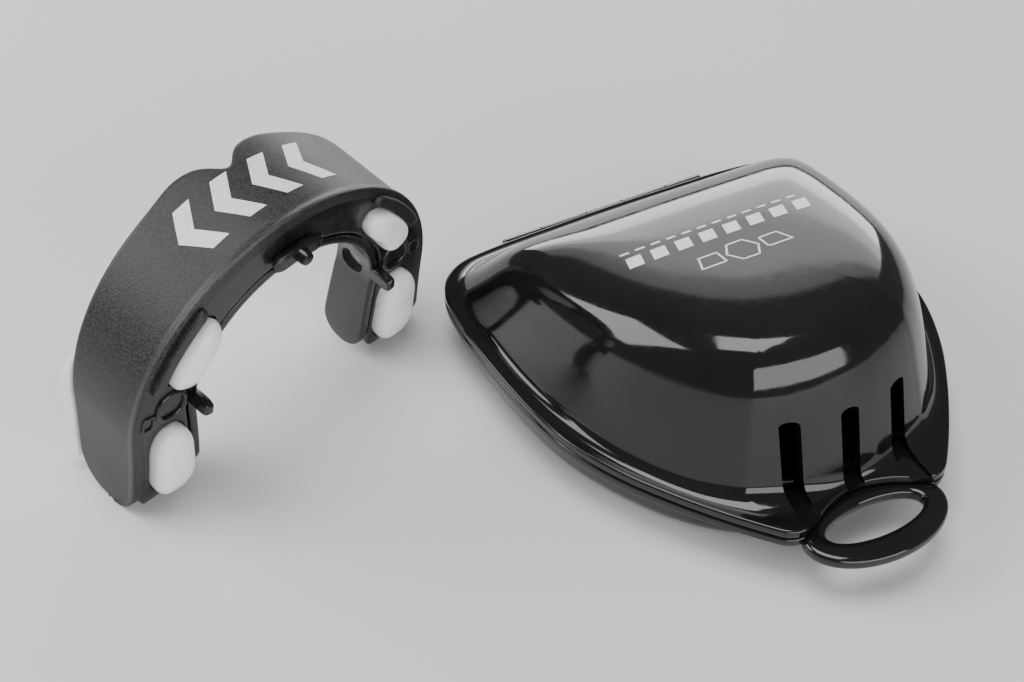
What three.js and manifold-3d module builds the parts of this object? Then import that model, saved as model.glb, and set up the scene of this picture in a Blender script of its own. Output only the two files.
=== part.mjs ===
// Gel mouthguard standing beside its clamshell case.
// Millimetres, +Z up. The origin is the centre of the case's flat underside, the hang loop points to -Y,
// the hinge runs along X at the +Y end, and the mouthguard stands on its two arm tips at the -X side.

import * as THREE from 'three';
import { ParametricGeometry } from 'three/addons/geometries/ParametricGeometry.js';
import { mergeVertices } from 'three/addons/utils/BufferGeometryUtils.js';
import Module from 'manifold-3d';

const wasm = await Module();
wasm.setup();

// ---- Driving dimensions: the case ----
const GAP = 0.3;                 // clearance between pieces that touch
const WALL = 1.7;                // moulded wall thickness
const RIM_TOP = 10.7;            // top of the lid's flange
const RIM_THICK = 1.5;           // thickness of each flange
const LID_FOOT = RIM_TOP - RIM_THICK;
const BASE_TOP = LID_FOOT - GAP;
const BASE_RIM_FOOT = BASE_TOP - RIM_THICK;
const ROOF_HEIGHT = 33.4;        // height of the roof above the logo place
const ROOF_REF_Y = -11;          // where ROOF_HEIGHT is measured
const ROOF_SLOPE = -0.2;         // the roof falls towards the hinge
const ROOF_CROWN = 0.5;          // how far the roof's edge lies below its middle
const ROOF_POWER = 7;            // superellipse power of the dome's profile
const WALL_DRAFT = 0.2;          // how far the walls lean in, as a part of the plan radius
const REAR_LEAN = 0.15;          // how much further the wall at the hinge leans in
const CENTRE = new THREE.Vector2(0, 1);
const MEAN_RADIUS = 34;          // plan radius by which an inset becomes a scale
const AROUND = 48;               // facets round the case's plan
const FILLET_REACH = 0.7;        // part of the flange's width that the dome's fillet covers
const LIP_RISE = 2.2;            // the base's locating lip above its flange
const SLOT_PITCH = 9.7;
const SLOT_WIDTH = 3.2;
const SLOT_TOP = 24;
const SLOT_SINK = 0.5;           // depth of the slots' run-out in the flange
const LOOP = { y: -40.1, rx: 10.6, ry: 5.4, halfX: 1.9, halfY: 2.15, low: 6.6, high: BASE_TOP };

// ---- Driving dimensions: the hinge ----
// The knuckles are tucked under the lid's rear edge, so that the closed lid hides them.
const AXIS_Y = 41.6;
const AXIS_Z = 8;
const KNUCKLE_RADIUS = 1.6;
const PIN_RADIUS = 0.7;
const STRAP_REACH = 3;           // how far a knuckle's strap runs in under the rim
const LID_STRAP_THICK = 0.7;
const BORE_RADIUS = PIN_RADIUS + 0.1;
const BASE_KNUCKLES = [[-20, -13], [-3.5, 3.5], [13, 20]];
const LID_KNUCKLES = [[-13 + GAP, -3.5 - GAP], [3.5 + GAP, 13 - GAP]];

// ---- Driving dimensions: the mouthguard, in its own frame ----
// x is sideways, +y points to the front teeth, +z to the gums. The front of the arch is at y = 0.
const ARCH_HALF_WIDTH = 30.5;
const ARCH_ROUND = 30;           // depth of the curved front
const ARM_STRAIGHT = 18;         // straight rear part of each arm
const ARM_FLARE = 0.8;           // the arms spread by this much at their tips
const CURVE_SHARE = 0.72;        // part of the path parameter spent on the curved front
const BAND_THICK = 2.2;
const BAND_TOP = [13, 9];        // at the front teeth and at the arm tips
const SOLE = [-4.5, -4];         // underside of the bite plane, front and tips
const SOLE_THICK = 2.2;
const SHELF_INNER = [7.6, 12];   // how far the bite plane reaches in, front and tips
const LINER_THICK = 1.2;
const FRAME_THICK = 1.6;
const FRAME_TOP = [2.5, 5.5];
const PAD_SPANS = [[0.3, 0.53], [0.7, 0.95]];
const PAD_MARGIN = 0.6;           // bite plane left between a pad's window and its edges
const PAD_DEPTH = 5.2;
const GUARD_YAW = THREE.MathUtils.degToRad(20);
const GUARD_LEAN = THREE.MathUtils.degToRad(10);
const GUARD_PLACE = new THREE.Vector3(-66.6, 26, 46.87);

// Plan outlines of the case, right half from the loop end to the hinge end.
const RIM_HALF = [
  [0, -34.7], [5, -35.7], [8.9, -37.6], [11.6, -38.7], [14, -38.2], [16.2, -36.2], [21, -30.4],
  [26.2, -23.2], [31, -15.2], [34.6, -6.2], [36.4, 4], [37.2, 15], [37.2, 26], [35.8, 34],
  [31.4, 38.8], [24, 40.2], [12, 40.6], [0, 40.8],
];
const DOME_HALF = [
  [0, -33.7], [5, -33.4], [9.5, -32.4], [12.4, -31.4], [15.2, -30.2], [17.6, -28.8], [21.8, -24.8],
  [25.8, -19.2], [29.4, -12.2], [32.2, -4], [33.8, 5], [34.5, 15], [34.4, 26], [33, 33.4],
  [29, 37], [22.5, 37.9], [12, 38.2], [0, 38.4],
];
const TRAY_HALF = [
  [0, -33], [5, -32.9], [9.5, -32.2], [12.6, -31.5], [15.6, -30.5], [18.2, -29.2], [22.6, -25.2],
  [26.8, -19.8], [30.8, -12.6], [34, -4.6], [35.8, 4.6], [36.6, 15], [36.6, 26], [35.2, 33.8],
  [31, 38.2], [23.8, 39.4], [12, 39.8], [0, 40],
];

// ---- Solids ----

// A closed three.js geometry as a solid, with its faces pointing out.
function solid(geometry) {
  const bare = geometry.clone();
  bare.deleteAttribute('normal');
  bare.deleteAttribute('uv');
  const merged = mergeVertices(bare, 1e-4);
  const vertProperties = new Float32Array(merged.attributes.position.array);
  const triVerts = withoutSlivers(merged.index.array);
  if (signedVolume(vertProperties, triVerts) < 0) turnOver(triVerts);
  return new wasm.Manifold(new wasm.Mesh({ numProp: 3, vertProperties, triVerts }));
}

// The triangles whose three corners are three different points.
function withoutSlivers(index) {
  const kept = [];
  for (let i = 0; i < index.length; i += 3) {
    const [a, b, c] = [index[i], index[i + 1], index[i + 2]];
    if (a !== b && b !== c && c !== a) kept.push(a, b, c);
  }
  return new Uint32Array(kept);
}

function signedVolume(points, triangles) {
  const [a, b, c] = [new THREE.Vector3(), new THREE.Vector3(), new THREE.Vector3()];
  let volume = 0;
  for (let i = 0; i < triangles.length; i += 3) {
    a.fromArray(points, 3 * triangles[i]);
    b.fromArray(points, 3 * triangles[i + 1]);
    c.fromArray(points, 3 * triangles[i + 2]);
    volume += a.dot(b.cross(c)) / 6;
  }
  return volume;
}

function turnOver(triangles) {
  for (let i = 0; i < triangles.length; i += 3) {
    [triangles[i + 1], triangles[i + 2]] = [triangles[i + 2], triangles[i + 1]];
  }
}

// A named mesh of a solid.
function piece(name, body, colour, roughness, metalness = 0) {
  const { vertProperties, triVerts } = body.getMesh();
  const geometry = new THREE.BufferGeometry();
  geometry.setAttribute('position', new THREE.BufferAttribute(vertProperties, 3));
  geometry.setIndex(new THREE.BufferAttribute(triVerts, 1));
  geometry.computeVertexNormals();
  const material = new THREE.MeshStandardMaterial({ color: colour, roughness, metalness });
  const mesh = new THREE.Mesh(geometry, material);
  mesh.name = name;
  return mesh;
}

function join(solids) {
  return solids.reduce((whole, next) => whole.add(next));
}

function cut(body, tools) {
  return tools.reduce((left, tool) => left.subtract(tool), body);
}

// A round bar along X.
function barAlongX(radius, x0, x1, y, z, sides = 20) {
  const bar = new THREE.CylinderGeometry(radius, radius, x1 - x0, sides);
  bar.rotateZ(Math.PI / 2);
  bar.translate((x0 + x1) / 2, y, z);
  return solid(bar);
}

// A box between two corners.
function block(low, high) {
  const size = high.map((value, i) => value - low[i]);
  const box = new THREE.BoxGeometry(...size);
  box.translate(...low.map((value, i) => value + size[i] / 2));
  return solid(box);
}

// ---- The case ----

// A smooth closed plan curve through a half outline and its mirror image.
function planCurve(half) {
  const mirrored = half.slice(1, -1).reverse().map(([x, y]) => [-x, y]);
  const points = [...half, ...mirrored].map(([x, y]) => new THREE.Vector3(x, y, 0));
  return new THREE.CatmullRomCurve3(points, true, 'catmullrom', 0.5);
}

const RIM = planCurve(RIM_HALF);
const DOME = planCurve(DOME_HALF);
const TRAY = planCurve(TRAY_HALF);

// A level ring: a plan curve scaled about the case's centre, at one height.
function ring(curve, scale, height) {
  return (u) => {
    const p = curve.getPoint(u);
    return [CENTRE.x + (p.x - CENTRE.x) * scale, CENTRE.y + (p.y - CENTRE.y) * scale, height];
  };
}

// A ring of the concave fillet that leads from a ring of the dome's wall out onto the flange's top.
function filletRing(wallRing, s) {
  return (u) => {
    const wall = new THREE.Vector3(...wallRing(u));
    const corner = DOME.getPoint(u).setZ(RIM_TOP);
    const end = DOME.getPoint(u).lerp(RIM.getPoint(u), FILLET_REACH).setZ(RIM_TOP);
    return new THREE.QuadraticBezierCurve3(wall, corner, end).getPoint(s).toArray();
  };
}

// Rings of the dome from its apex down to the lowest rise, outside (inset 0) or inside (inset = wall).
// The profile is a superellipse: fine steps round the shoulder, then a few down the wall.
function domeRings(foot, inset, steps, lowest) {
  const shrink = 1 - inset / MEAN_RADIUS;
  const shoulder = Array.from({ length: steps }, (_, i) => (
    Math.cos((i / steps) * Math.PI / 2) ** (2 / ROOF_POWER)
  ));
  return [...shoulder, 0.4, 0.2, lowest].map((rise) => {
    const reach = (1 - rise ** ROOF_POWER) ** (1 / ROOF_POWER) * shrink;
    return (u) => {
      const p = DOME.getPoint(u);
      const rearward = Math.max(0, (p.y - CENTRE.y) / (DOME_HALF.at(-1)[1] - CENTRE.y));
      const x = CENTRE.x + (p.x - CENTRE.x) * reach * (1 - WALL_DRAFT * rise);
      const draft = WALL_DRAFT + REAR_LEAN * rearward ** 2;
      const y = CENTRE.y + (p.y - CENTRE.y) * reach * (1 - draft * rise);
      const roof = ROOF_HEIGHT - inset + ROOF_SLOPE * (y - ROOF_REF_Y) - ROOF_CROWN * reach * reach;
      return [x, y, foot + rise * (roof - foot)];
    };
  });
}

// A cosine or sine, raised so that the circle it belongs to becomes a rounded box.
function boxed(value, power) {
  return Math.abs(value) < 1e-9 ? 0 : Math.sign(value) * Math.abs(value) ** (2 / power);
}

// A closed skin through a list of rings that starts and ends in a single point.
function skin(rings, around) {
  const stacks = rings.length - 1;
  const surface = (u, v, target) => target.set(...rings[Math.round(v * stacks)](u));
  return solid(new ParametricGeometry(surface, around, stacks));
}

// A slot's cutter: a tall flat-sided hole with a round top, run along Y.
function slotCutter(x, low, y0, y1) {
  const half = SLOT_WIDTH / 2;
  const shape = new THREE.Shape();
  shape.moveTo(-half, low);
  shape.lineTo(half, low);
  shape.lineTo(half, SLOT_TOP - half);
  shape.absarc(0, SLOT_TOP - half, half, 0, Math.PI, false);
  shape.closePath();
  const sweep = { depth: y1 - y0, bevelEnabled: false, curveSegments: 8 };
  const cutter = new THREE.ExtrudeGeometry(shape, sweep);
  cutter.rotateX(Math.PI / 2);
  cutter.translate(x, y1, 0);
  return solid(cutter);
}

// A shell with its own knuckles on the hinge axis, each on a strap, bored for the pin, and with room
// cut out for the other shell's knuckles.
function withKnuckles(shell, spans, otherSpans, low, high) {
  const room = otherSpans.map(([x0, x1]) => (
    barAlongX(KNUCKLE_RADIUS + GAP, x0 - GAP, x1 + GAP, AXIS_Y, AXIS_Z)
  ));
  const knuckles = spans.map(([x0, x1]) => barAlongX(KNUCKLE_RADIUS, x0, x1, AXIS_Y, AXIS_Z));
  const straps = spans.map(([x0, x1]) => block([x0, AXIS_Y - STRAP_REACH, low], [x1, AXIS_Y, high]));
  const bore = barAlongX(BORE_RADIUS, -25, 25, AXIS_Y, AXIS_Z);
  return join([cut(shell, room), ...knuckles, ...straps]).subtract(bore);
}

function lidShell() {
  const outside = domeRings(RIM_TOP, 0, 8, 0.1);
  const rings = [
    ...outside,
    ...[0.35, 0.7, 1].map((s) => filletRing(outside.at(-1), s)),
    ring(RIM, 0.99, RIM_TOP),
    ring(RIM, 1, RIM_TOP - 0.35),
    ring(RIM, 1, LID_FOOT + 0.3),
    ring(RIM, 0.992, LID_FOOT),
    ring(DOME, 1 - WALL / MEAN_RADIUS, LID_FOOT),
    ...domeRings(RIM_TOP, WALL, 6, 0.06).reverse(),
  ];
  const slots = [-SLOT_PITCH, 0, SLOT_PITCH].map((x) => slotCutter(x, RIM_TOP - SLOT_SINK, -42, -24.5));
  const shell = cut(skin(rings, AROUND), slots);
  return withKnuckles(shell, LID_KNUCKLES, BASE_KNUCKLES, LID_FOOT, LID_FOOT + LID_STRAP_THICK);
}

// The hang loop: an oval ring with a rounded section.
function hangLoop() {
  const middle = (LOOP.low + LOOP.high) / 2;
  const halfTall = (LOOP.high - LOOP.low) / 2;
  const surface = (u, v, target) => {
    const around = (u % 1) * 2 * Math.PI;
    const turn = (v % 1) * 2 * Math.PI;
    const out = boxed(Math.cos(turn), 3.3);
    const up = boxed(Math.sin(turn), 3.3);
    const x = (LOOP.rx + LOOP.halfX * out) * Math.cos(around);
    const y = LOOP.y + (LOOP.ry + LOOP.halfY * out) * Math.sin(around);
    target.set(x, y, middle + halfTall * up);
  };
  return solid(new ParametricGeometry(surface, 32, 10));
}

function baseShell() {
  const tray = [
    [0, 0], [0.86, 0], [0.9, 0.35], [0.945, 1.5], [0.975, 3.2], [0.99, 5.2], [1, BASE_RIM_FOOT],
  ];
  const inside = [[0.91, 5.2], [0.89, 3.4], [0.84, 2.2], [0, WALL]];
  const lipOuter = 1 - (WALL + GAP + 0.6) / MEAN_RADIUS;
  const lipInner = lipOuter - 1.2 / MEAN_RADIUS;
  const rings = [
    ...tray.map(([scale, height]) => ring(TRAY, scale, height)),
    ring(RIM, 0.995, BASE_RIM_FOOT + 0.02),
    ring(RIM, 1, BASE_RIM_FOOT + 0.25),
    ring(RIM, 1, BASE_TOP - 0.3),
    ring(RIM, 0.992, BASE_TOP),
    ring(DOME, lipOuter, BASE_TOP),
    ring(DOME, lipOuter, BASE_TOP + LIP_RISE - 0.3),
    ring(DOME, lipOuter - 0.01, BASE_TOP + LIP_RISE),
    ring(DOME, lipInner, BASE_TOP + LIP_RISE),
    ...inside.map(([scale, height]) => ring(DOME, scale, height)),
  ];
  const shell = skin(rings, AROUND).add(hangLoop());
  return withKnuckles(shell, BASE_KNUCKLES, LID_KNUCKLES, BASE_RIM_FOOT, BASE_TOP);
}

// ---- The mouthguard ----

// A point of the arch's outer curve and the direction pointing into the arch, for t from -1 to 1.
function archPoint(t) {
  const side = Math.sign(t) || 1;
  const share = Math.abs(t);
  if (share <= CURVE_SHARE) {
    const angle = (share / CURVE_SHARE) * Math.PI / 2;
    const into = new THREE.Vector2(-Math.sin(angle) / ARCH_HALF_WIDTH, -Math.cos(angle) / ARCH_ROUND);
    into.normalize();
    const at = new THREE.Vector2(ARCH_HALF_WIDTH * Math.sin(angle), ARCH_ROUND * (Math.cos(angle) - 1));
    return { x: side * at.x, y: at.y, inX: side * into.x, inY: into.y };
  }
  const along = (share - CURVE_SHARE) / (1 - CURVE_SHARE);
  const x = ARCH_HALF_WIDTH + ARM_FLARE * along * along;
  return { x: side * x, y: -ARCH_ROUND - ARM_STRAIGHT * along, inX: -side, inY: 0 };
}

function mix([front, tip], t) {
  return front + (tip - front) * Math.abs(t) ** 1.5;
}

// A bar that follows the arch from t0 to t1 with a rounded-box section and rounded ends.
// side(t) gives its two insets from the outer curve, level(t) its lowest and highest z,
// and blunt is the part of its thickness that is left at its ends.
function archBar({
  t0 = -1, t1 = 1, side, level, power = 5, steps = 32, sides = 12, endShare = 0.06, blunt = 0.6,
}) {
  const cap = [0, 30, 60].map((degrees) => ({
    v: endShare * (1 - Math.cos(THREE.MathUtils.degToRad(degrees))),
    squeeze: Math.sin(THREE.MathUtils.degToRad(degrees)),
  }));
  const middle = Array.from({ length: steps + 1 }, (_, i) => ({
    v: endShare + ((1 - 2 * endShare) * i) / steps,
    squeeze: 1,
  }));
  const farCap = cap.map(({ v, squeeze }) => ({ v: 1 - v, squeeze })).reverse();
  const rings = [...cap, ...middle, ...farCap].map(({ v, squeeze }) => (u) => {
    const t = t0 + (t1 - t0) * v;
    const [outer, inner] = side(t);
    const [low, high] = level(t);
    const turn = (u % 1) * 2 * Math.PI;
    const across = boxed(Math.cos(turn), power);
    const up = boxed(Math.sin(turn), power);
    const thick = (inner - outer) * (blunt + (1 - blunt) * squeeze);
    const inset = (outer + inner) / 2 + (thick / 2) * across;
    const p = archPoint(t);
    const z = (low + high) / 2 + ((high - low) / 2) * up * squeeze;
    return [p.x + p.inX * inset, p.y + p.inY * inset, z];
  });
  return skin(rings, sides);
}

function bothSides(spans) {
  return spans.flatMap(([t0, t1]) => [[t0, t1], [-t1, -t0]]);
}

// A bite pad, or with extra clearance the window that it sits in.
function padBody([t0, t1], extra) {
  const length = 0.014 * extra / GAP;
  return archBar({
    t0: t0 - length,
    t1: t1 + length,
    side: (t) => [BAND_THICK + PAD_MARGIN - extra, mix(SHELF_INNER, t) - PAD_MARGIN + extra],
    level: (t) => {
      const high = mix(SOLE, t) + SOLE_THICK - 0.1;
      return [high - PAD_DEPTH - extra, high + extra];
    },
    power: 2.8,
    steps: 3,
    endShare: 0.34,
    blunt: 0,
  });
}

function guardShell() {
  const band = archBar({
    side: () => [0, BAND_THICK],
    level: (t) => [mix(SOLE, t), mix(BAND_TOP, t)],
    power: 7,
    endShare: 0.05,
  });
  const shelf = archBar({
    t0: -0.985,
    t1: 0.985,
    side: (t) => [1, mix(SHELF_INNER, t)],
    level: (t) => [mix(SOLE, t), mix(SOLE, t) + SOLE_THICK],
    power: 6,
    endShare: 0.05,
  });
  const notch = new THREE.CylinderGeometry(4.2, 4.2, 12, 20);
  notch.translate(0, 0, BAND_TOP[0] + 2.2);
  return cut(band.add(shelf), [solid(notch), ...bothSides(PAD_SPANS).map((span) => padBody(span, GAP))]);
}

function guardFrame() {
  const inner = (t) => mix(SHELF_INNER, t) + GAP;
  const wall = archBar({
    t0: -0.97,
    t1: 0.97,
    side: (t) => [inner(t), inner(t) + FRAME_THICK],
    level: (t) => [mix(SOLE, t), mix(FRAME_TOP, t)],
    power: 6,
    steps: 28,
    endShare: 0.04,
  });
  const tabs = bothSides([[0.58, 0.655]]).map(([t0, t1]) => archBar({
    t0,
    t1,
    side: (t) => [inner(t), inner(t) + FRAME_THICK],
    level: (t) => [mix(SOLE, t) - 4, mix(SOLE, t) + 1],
    power: 4,
    steps: 2,
    endShare: 0.3,
  }));
  const windows = bothSides([[0.56, 0.675]]).map(([t0, t1]) => archBar({
    t0,
    t1,
    side: (t) => [inner(t) - 2, inner(t) + FRAME_THICK + 2],
    level: (t) => [mix(SOLE, t) + 2.2, mix(FRAME_TOP, t) - 1.4],
    power: 3,
    steps: 2,
    endShare: 0.4,
  }));
  return cut(join([wall, ...tabs]), windows);
}

// Height of the liner's outer wall: below the band's edge in front, above it along the arms.
function linerTop(t) {
  return mix(BAND_TOP, t) - 2.4 + 6.4 * THREE.MathUtils.smoothstep(Math.abs(t), 0.45, 0.75);
}

function gelLiner() {
  const floor = (t) => mix(SOLE, t) + SOLE_THICK + GAP;
  const span = { t0: -0.965, t1: 0.965, steps: 28, sides: 8, endShare: 0.04 };
  const outerWall = archBar({
    ...span,
    side: () => [BAND_THICK + GAP, BAND_THICK + GAP + LINER_THICK],
    level: (t) => [floor(t), linerTop(t)],
  });
  const sole = archBar({
    ...span,
    side: (t) => [BAND_THICK + GAP + 0.4, mix(SHELF_INNER, t) - 0.4],
    level: (t) => [floor(t), floor(t) + LINER_THICK],
  });
  const innerWall = archBar({
    ...span,
    side: (t) => [mix(SHELF_INNER, t) - LINER_THICK, mix(SHELF_INNER, t)],
    level: (t) => [floor(t), mix(FRAME_TOP, t) + 0.8],
  });
  return join([outerWall, sole, innerWall]);
}

// The small bridge at the front teeth that keeps the bite apart for breathing.
function bridge() {
  const top = SOLE[0] - GAP;
  const bar = archBar({
    t0: -0.09,
    t1: 0.09,
    side: () => [4.6, 7.4],
    level: () => [top - 1.6, top],
    power: 4,
    steps: 4,
    endShare: 0.2,
  });
  const nub = new THREE.CylinderGeometry(1.1, 1.3, 2.2, 16);
  nub.rotateX(-Math.PI / 2);
  nub.translate(0, -6, top - 2.2);
  return bar.add(solid(nub));
}

// ---- Assembly ----

const BLACK_GLOSS = 0x0b0b0d;
const BLACK_SATIN = 0x161617;
const GEL_WHITE = 0xe4e4e2;
const STEEL = 0x9a9ca0;

const caseGroup = new THREE.Group();
caseGroup.add(piece('case_base', baseShell(), BLACK_GLOSS, 0.12));
caseGroup.add(piece('case_lid', lidShell(), BLACK_GLOSS, 0.08));
caseGroup.add(piece('hinge_pin', barAlongX(PIN_RADIUS, -20.4, 20.4, AXIS_Y, AXIS_Z), STEEL, 0.35, 1));

const guardGroup = new THREE.Group();
guardGroup.add(piece('guard_shell', guardShell(), BLACK_SATIN, 0.5));
guardGroup.add(piece('guard_inner_frame', guardFrame(), BLACK_SATIN, 0.35));
guardGroup.add(piece('guard_gel_liner', gelLiner(), GEL_WHITE, 0.3));
guardGroup.add(piece('guard_bridge', bridge(), BLACK_SATIN, 0.4));
const padNames = [
  'bite_pad_front_right', 'bite_pad_front_left', 'bite_pad_rear_right', 'bite_pad_rear_left',
];
bothSides(PAD_SPANS).forEach((span, i) => {
  guardGroup.add(piece(padNames[i], padBody(span, 0), GEL_WHITE, 0.25));
});

// The front teeth point up and lean towards the hang loop, and the arms stand on the table.
const sideways = new THREE.Vector3(-Math.cos(GUARD_YAW), -Math.sin(GUARD_YAW), 0);
const frontward = new THREE.Vector3(0, 0, 1).applyAxisAngle(sideways, -GUARD_LEAN);
const gumward = new THREE.Vector3().crossVectors(sideways, frontward);
guardGroup.quaternion.setFromRotationMatrix(new THREE.Matrix4().makeBasis(sideways, frontward, gumward));
guardGroup.position.copy(GUARD_PLACE);

const model = new THREE.Group();
model.add(caseGroup, guardGroup);

export default model;
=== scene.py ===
"""Looks of a gel mouthguard beside its clamshell case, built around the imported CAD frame.

Shapes are worked out in millimetres, with the same driving dimensions as the CAD source, and
become metres when a mesh is made. The camera stands at the photograph's viewing angle.
"""

import math

import bmesh
import bpy
from mathutils import Matrix, Vector
from mathutils.bvhtree import BVHTree


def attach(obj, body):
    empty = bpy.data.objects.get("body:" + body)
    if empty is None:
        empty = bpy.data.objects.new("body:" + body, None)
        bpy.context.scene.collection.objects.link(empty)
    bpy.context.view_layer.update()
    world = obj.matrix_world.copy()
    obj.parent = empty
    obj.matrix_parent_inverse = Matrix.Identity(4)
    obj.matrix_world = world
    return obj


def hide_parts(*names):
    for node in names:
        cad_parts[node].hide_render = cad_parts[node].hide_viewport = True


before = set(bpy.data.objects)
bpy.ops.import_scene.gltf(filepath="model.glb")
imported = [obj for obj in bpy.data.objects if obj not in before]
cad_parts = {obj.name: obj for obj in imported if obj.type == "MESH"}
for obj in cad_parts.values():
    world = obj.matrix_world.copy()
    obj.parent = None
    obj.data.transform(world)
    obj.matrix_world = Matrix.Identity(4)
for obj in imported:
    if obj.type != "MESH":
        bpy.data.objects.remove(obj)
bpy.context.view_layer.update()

MM = 0.001

# ---- The case, in millimetres ----
WALL = 1.7
RIM_TOP = 10.7
RIM_THICK = 1.5
GAP = 0.3
LID_FOOT = RIM_TOP - RIM_THICK
BASE_TOP = LID_FOOT - GAP
BASE_RIM_FOOT = BASE_TOP - RIM_THICK
ROOF_HEIGHT = 33.4
ROOF_REF_Y = -11.0
ROOF_SLOPE = -0.2
ROOF_CROWN = 0.5
ROOF_POWER = 7.0
WALL_DRAFT = 0.2
REAR_LEAN = 0.15
CENTRE = Vector((0.0, 1.0))
MEAN_RADIUS = 34.0
FILLET_REACH = 0.7
SHOULDER_FOOT = 0.66  # part of the dome's height below which its rings are evenly spaced
APEX = 0.99999  # how high the top ring lies: at 1 it would have no size
LIP_RISE = 2.2
SLOT_PITCH = 9.7
SLOT_WIDTH = 3.2
SLOT_TOP = 24.0
SLOT_SINK = 0.5
SLOT_ARCH = 0.55  # how round a slot's top is, where 1 is a half circle
SLOT_REACH = (-42.0, -24.5)
LOOP_Y, LOOP_RX, LOOP_RY = -40.1, 10.6, 5.4
LOOP_HALF_X, LOOP_HALF_Y = 1.9, 2.15
LOOP_LOW, LOOP_HIGH = 6.6, BASE_TOP
LOOP_POWER = 3.3
AXIS_Y, AXIS_Z = 41.6, 8.0
KNUCKLE_RADIUS = 1.6
BORE_RADIUS = 0.8
STRAP_REACH = 3.0
LID_STRAP_THICK = 0.7
BASE_KNUCKLES = [(-20, -13), (-3.5, 3.5), (13, 20)]
LID_KNUCKLES = [(-12.7, -3.8), (3.8, 12.7)]

RIM_HALF = [
    (0, -34.7), (5, -35.7), (8.9, -37.6), (11.6, -38.7), (14, -38.2), (16.2, -36.2), (21, -30.4),
    (26.2, -23.2), (31, -15.2), (34.6, -6.2), (36.4, 4), (37.2, 15), (37.2, 26), (35.8, 34),
    (31.4, 38.8), (24, 40.2), (12, 40.6), (0, 40.8),
]
DOME_HALF = [
    (0, -33.7), (5, -33.4), (9.5, -32.4), (12.4, -31.4), (15.2, -30.2), (17.6, -28.8), (21.8, -24.8),
    (25.8, -19.2), (29.4, -12.2), (32.2, -4), (33.8, 5), (34.5, 15), (34.4, 26), (33, 33.4),
    (29, 37), (22.5, 37.9), (12, 38.2), (0, 38.4),
]
TRAY_HALF = [
    (0, -33), (5, -32.9), (9.5, -32.2), (12.6, -31.5), (15.6, -30.5), (18.2, -29.2), (22.6, -25.2),
    (26.8, -19.8), (30.8, -12.6), (34, -4.6), (35.8, 4.6), (36.6, 15), (36.6, 26), (35.2, 33.8),
    (31, 38.2), (23.8, 39.4), (12, 39.8), (0, 40),
]
AROUND = 34 * 8  # eight points on a curve for each of its outline's 34

# ---- The mouthguard, in its own frame: x sideways, +y to the front teeth, +z to the gums ----
ARCH_HALF_WIDTH = 30.5
ARCH_ROUND = 30.0
ARM_STRAIGHT = 18.0
ARM_FLARE = 0.8
CURVE_SHARE = 0.72
BAND_THICK = 2.2
BAND_TOP = (13.0, 9.0)
SOLE = (-4.5, -4.0)
SOLE_THICK = 2.2
SHELF_INNER = (7.6, 12.0)
LINER_THICK = 1.2
LINER_CURL = 2.1
FRAME_THICK = 1.6
FRAME_TOP = (2.5, 5.5)
PAD_SPANS = [(0.3, 0.53), (0.7, 0.95)]
PAD_MARGIN = 0.6
PAD_DEPTH = 5.2
PAD_POWER = 2.8
WINDOW_STRETCH = 0.047  # how far in t a window runs past its pad, for each millimetre of clearance
TAB_SPAN = (0.58, 0.655)
FRAME_WINDOW_SPAN = (0.56, 0.675)
STRIP_SPAN = (0.29, 0.54)
GUARD_YAW = math.radians(20)
GUARD_LEAN = math.radians(10)
GUARD_PLACE = Vector((-66.6, 26.0, 46.87))
SIDEWAYS = Vector((-math.cos(GUARD_YAW), -math.sin(GUARD_YAW), 0.0))
FRONTWARD = Matrix.Rotation(-GUARD_LEAN, 3, SIDEWAYS) @ Vector((0.0, 0.0, 1.0))
GUMWARD = SIDEWAYS.cross(FRONTWARD)

# ---- The view ----
VIEW_ELEVATION = math.radians(43.3)
VIEW_AZIMUTH = math.radians(-27.6)
VIEW_LENS = 62.9
VIEW_TARGET = Vector((-18.4, 24.2, 0.0))
VIEW_SHIFT = Vector((8.5, 0.5))
VIEW_DISTANCE = 310.0


# ---- Mesh helpers ----

def mesh_of(name, bm):
    """A mesh with its faces pointing out."""
    bmesh.ops.recalc_face_normals(bm, faces=bm.faces)
    mesh = bpy.data.meshes.new(name)
    bm.to_mesh(mesh)
    bm.free()
    return mesh


def mesh_from_rings(name, rings, place=lambda p: p):
    """A closed skin through rings of points. The first and last ring each get a face of their own."""
    bm = bmesh.new()
    rows = [[bm.verts.new(place(Vector(p)) * MM) for p in ring] for ring in rings]
    count = len(rows[0])
    for upper, lower in zip(rows, rows[1:]):
        for i in range(count):
            j = (i + 1) % count
            bm.faces.new((upper[i], upper[j], lower[j], lower[i]))
    bm.faces.new(list(reversed(rows[0])))
    bm.faces.new(rows[-1])
    bmesh.ops.remove_doubles(bm, verts=bm.verts, dist=2e-7)
    bmesh.ops.dissolve_degenerate(bm, edges=bm.edges, dist=1e-8)
    return mesh_of(name, bm)


def loop_mesh(name, rings, place=lambda p: p):
    """A closed skin through rings of points, whose last ring meets the first."""
    bm = bmesh.new()
    rows = [[bm.verts.new(place(Vector(p)) * MM) for p in ring] for ring in rings]
    count = len(rows[0])
    for here, there in zip(rows, rows[1:] + rows[:1]):
        for i in range(count):
            j = (i + 1) % count
            bm.faces.new((here[i], there[i], there[j], here[j]))
    return mesh_of(name, bm)


def add_object(name, mesh):
    obj = bpy.data.objects.new(name, mesh)
    bpy.context.scene.collection.objects.link(obj)
    return obj


def bake(obj):
    """Replaces an object's mesh by its mesh with all modifiers applied."""
    graph = bpy.context.evaluated_depsgraph_get()
    done = bpy.data.meshes.new_from_object(obj.evaluated_get(graph))
    obj.modifiers.clear()
    obj.data = done
    return obj


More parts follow.
